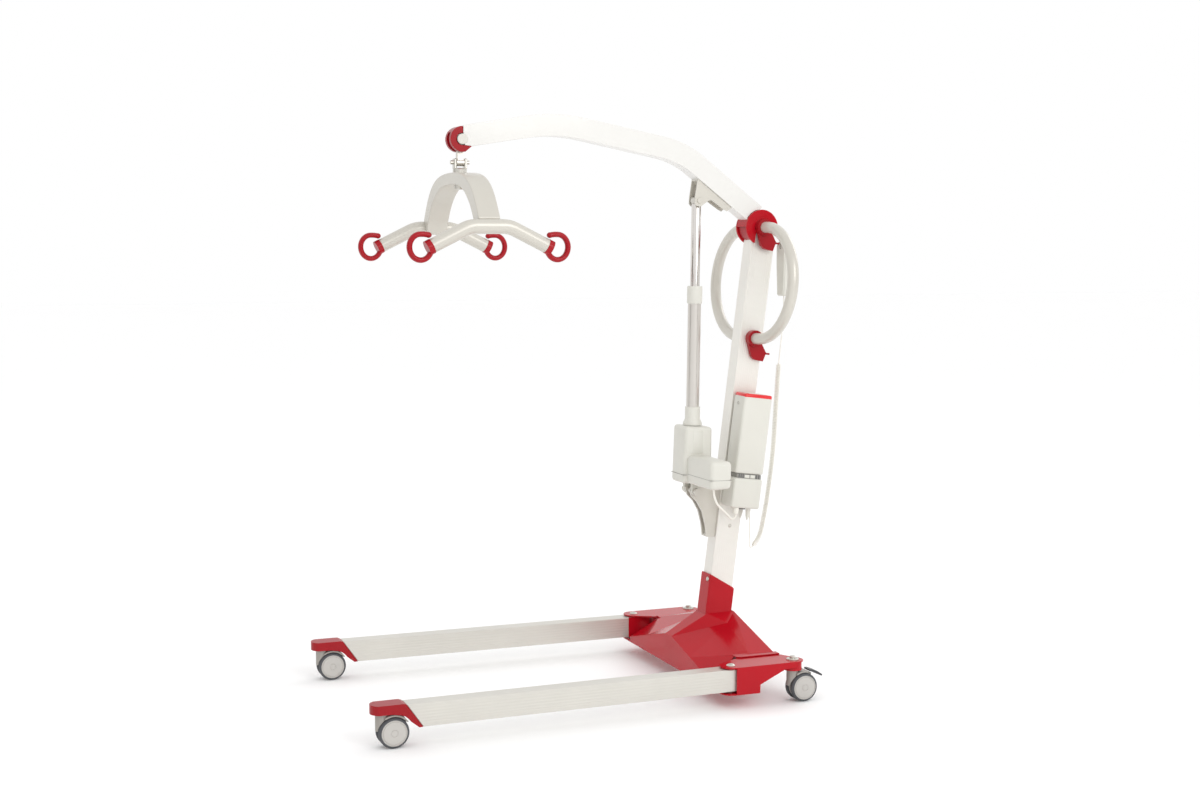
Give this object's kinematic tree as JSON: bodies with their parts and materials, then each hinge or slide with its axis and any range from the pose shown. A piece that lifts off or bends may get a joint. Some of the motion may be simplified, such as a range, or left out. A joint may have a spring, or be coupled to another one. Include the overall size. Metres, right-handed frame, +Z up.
{
  "type": "patient lift hoist",
  "caption": "Mobile patient lift with spreading legs on castors, leaning mast, powered boom and a hanging sling bar with hooks.",
  "frame": {"origin": "on the floor, at the centre of the bounding box", "axes": "-Y towards the front castors and the sling bar, +X towards the battery side, +Z up"},
  "size_m": [0.7202, 1.2512, 1.5191],
  "materials": {
    "red_paint": "glossy saturated red paint",
    "red_plastic": "dark red, satin",
    "white_paint": "off-white semi-gloss powder coat",
    "anodised_aluminium": "satin anodised, warm grey",
    "silver_paint": "satin silver-grey paint",
    "chrome": "polished",
    "zinc_steel": "zinc plated, satin",
    "white_plastic": "off-white, fine texture",
    "grey_plastic": "light grey, fine texture",
    "housing_grey": "grey-beige, satin",
    "dark_plastic": "dark grey, satin",
    "tyre_grey": "dark grey tread on a light grey disc",
    "cable_sheath": "light beige-grey, matt"
  },
  "bodies": {
    "base": {"base_frame": "red_paint", "base_cover": "red_paint", "mast": "anodised_aluminium", "mast_cap": "red_plastic", "boom_pin": "zinc_steel", "drive_bracket": "silver_paint", "control_box": "white_plastic", "motor_cable": "cable_sheath", "cord_upper": "cable_sheath", "cord_coil": "cable_sheath", "cord_lower": "cable_sheath", "spread_motor": "dark_plastic", "handle_left": "silver_paint", "handle_right": "silver_paint", "handle_clamp_upper_left": "red_plastic", "handle_clamp_upper_right": "red_plastic", "handle_clamp_lower_left": "red_plastic", "handle_clamp_lower_right": "red_plastic", "leg_bolt_left": "zinc_steel", "leg_bolt_right": "zinc_steel"},
    "battery": {"battery": "grey_plastic"},
    "hand_control": {"hand_control": "grey_plastic"},
    "crosshead": {"spread_crosshead": "zinc_steel"},
    "boom": {"boom": "white_paint", "boom_tip": "red_plastic", "tip_pin": "white_plastic", "boom_hinge": "red_paint", "boom_bracket": "silver_paint"},
    "yoke": {"hanger_yoke": "zinc_steel"},
    "link": {"swivel_link": "zinc_steel"},
    "sling_bar": {"sling_arch": "silver_paint", "crossbar_left": "silver_paint", "crossbar_right": "silver_paint", "sling_hook_left_front": "red_paint", "sling_hook_left_rear": "red_paint", "sling_hook_right_front": "red_paint", "sling_hook_right_rear": "red_paint"},
    "drive": {"drive_housing": "white_plastic", "drive_tube": "anodised_aluminium"},
    "rod": {"drive_rod": "chrome"},
    "leg_left": {"leg_left": "anodised_aluminium", "leg_end_left": "red_plastic", "leg_lever_left": "zinc_steel"},
    "castor_front_left": {"castor_front_left_housing": "housing_grey"},
    "wheels_front_left": {"castor_front_left_wheels": "tyre_grey"},
    "castor_rear_left": {"castor_rear_left_housing": "housing_grey"},
    "wheels_rear_left": {"castor_rear_left_wheels": "tyre_grey"},
    "brake_pedal_rear_left": {"brake_pedal_rear_left": "dark_plastic"},
    "leg_right": {"leg_right": "anodised_aluminium", "leg_end_right": "red_plastic", "leg_lever_right": "zinc_steel"},
    "castor_front_right": {"castor_front_right_housing": "housing_grey"},
    "wheels_front_right": {"castor_front_right_wheels": "tyre_grey"},
    "castor_rear_right": {"castor_rear_right_housing": "housing_grey"},
    "wheels_rear_right": {"castor_rear_right_wheels": "tyre_grey"},
    "brake_pedal_rear_right": {"brake_pedal_rear_right": "dark_plastic"},
    "button_1": {"hand_button_1": "dark_plastic"},
    "button_2": {"hand_button_2": "dark_plastic"},
    "button_3": {"hand_button_3": "dark_plastic"},
    "button_4": {"hand_button_4": "dark_plastic"}
  },
  "joints": [
    {"name": "leg_left_spread", "type": "hinge", "parent": "base", "child": "leg_left", "pos_m": [0.3244, 0.3219, 0.075], "axis": [0, 0, 1], "range_deg": [0, 14]},
    {"name": "leg_right_spread", "type": "hinge", "parent": "base", "child": "leg_right", "pos_m": [-0.3244, 0.3219, 0.075], "axis": [0, 0, 1], "range_deg": [-14, 0]},
    {"name": "crosshead_slide", "type": "slide", "parent": "base", "child": "crosshead", "axis": [0, 1, 0], "range_m": [-0.036, 0]},
    {"name": "swivel_front_left", "type": "hinge", "parent": "leg_left", "child": "castor_front_left", "pos_m": [0.33498, -0.5967, 0.084], "axis": [0, 0, 1], "continuous": true},
    {"name": "roll_front_left", "type": "hinge", "parent": "castor_front_left", "child": "wheels_front_left", "pos_m": [0.33498, -0.5707, 0.0375], "axis": [1, 0, 0], "continuous": true},
    {"name": "swivel_rear_left", "type": "hinge", "parent": "base", "child": "castor_rear_left", "pos_m": [0.3268, 0.4991, 0.084], "axis": [0, 0, 1], "continuous": true},
    {"name": "roll_rear_left", "type": "hinge", "parent": "castor_rear_left", "child": "wheels_rear_left", "pos_m": [0.3268, 0.5251, 0.0375], "axis": [1, 0, 0], "continuous": true},
    {"name": "brake_left", "type": "hinge", "parent": "castor_rear_left", "child": "brake_pedal_rear_left", "pos_m": [0.3268, 0.5431, 0.08], "axis": [1, 0, 0], "range_deg": [-14, 0]},
    {"name": "swivel_front_right", "type": "hinge", "parent": "leg_right", "child": "castor_front_right", "pos_m": [-0.33498, -0.5967, 0.084], "axis": [0, 0, 1], "continuous": true},
    {"name": "roll_front_right", "type": "hinge", "parent": "castor_front_right", "child": "wheels_front_right", "pos_m": [-0.33498, -0.5707, 0.0375], "axis": [1, 0, 0], "continuous": true},
    {"name": "swivel_rear_right", "type": "hinge", "parent": "base", "child": "castor_rear_right", "pos_m": [-0.3268, 0.4991, 0.084], "axis": [0, 0, 1], "continuous": true},
    {"name": "roll_rear_right", "type": "hinge", "parent": "castor_rear_right", "child": "wheels_rear_right", "pos_m": [-0.3268, 0.5251, 0.0375], "axis": [1, 0, 0], "continuous": true},
    {"name": "brake_right", "type": "hinge", "parent": "castor_rear_right", "child": "brake_pedal_rear_right", "pos_m": [-0.3268, 0.5431, 0.08], "axis": [1, 0, 0], "range_deg": [-14, 0]},
    {"name": "boom_lift", "type": "hinge", "parent": "base", "child": "boom", "pos_m": [0, 0.5499, 1.231], "axis": [1, 0, 0], "range_deg": [-12, 50]},
    {"name": "rod_slide", "type": "slide", "parent": "drive", "child": "rod", "axis": [0, 0.0146, 0.9999], "range_m": [-0.17, 0.04]},
    {"name": "drive_tilt", "type": "hinge", "parent": "base", "child": "drive", "pos_m": [0, 0.3564, 0.517], "axis": [1, 0, 0], "range_deg": [-1, 1]},
    {"name": "yoke_swing", "type": "hinge", "parent": "boom", "child": "yoke", "pos_m": [0, -0.2933, 1.45], "axis": [1, 0, 0], "range_deg": [-75, 35]},
    {"name": "side_swing", "type": "hinge", "parent": "yoke", "child": "link", "pos_m": [0, -0.2933, 1.392], "axis": [0, 1, 0], "range_deg": [-20, 20]},
    {"name": "sling_bar_swivel", "type": "hinge", "parent": "link", "child": "sling_bar", "pos_m": [0, -0.2933, 1.366], "axis": [0, 0, 1], "continuous": true},
    {"name": "battery_lift_off", "type": "slide", "parent": "base", "child": "battery", "axis": [0, 0.1253, 0.9921], "range_m": [0, 0.08]},
    {"name": "hand_control_lift_off", "type": "slide", "parent": "base", "child": "hand_control", "axis": [0, 1, 0], "range_m": [0, 0.02]},
    {"name": "button_1_press", "type": "slide", "parent": "hand_control", "child": "button_1", "axis": [0, -1, 0], "range_m": [0, 0.0015], "stiffness_N_per_m": 400},
    {"name": "button_2_press", "type": "slide", "parent": "hand_control", "child": "button_2", "axis": [0, -1, 0], "range_m": [0, 0.0015], "stiffness_N_per_m": 400},
    {"name": "button_3_press", "type": "slide", "parent": "hand_control", "child": "button_3", "axis": [0, -1, 0], "range_m": [0, 0.0015], "stiffness_N_per_m": 400},
    {"name": "button_4_press", "type": "slide", "parent": "hand_control", "child": "button_4", "axis": [0, -1, 0], "range_m": [0, 0.0015], "stiffness_N_per_m": 400}
  ],
  "couplings": [
    {"joint": "leg_right_spread", "follows": "leg_left_spread", "ratio": -1},
    {"joint": "crosshead_slide", "follows": "leg_left_spread", "m_per_rad": -0.146},
    {"joint": "rod_slide", "follows": "boom_lift", "m_per_rad": -0.185},
    {"joint": "drive_tilt", "follows": "boom_lift", "ratio": -0.01}
  ]
}
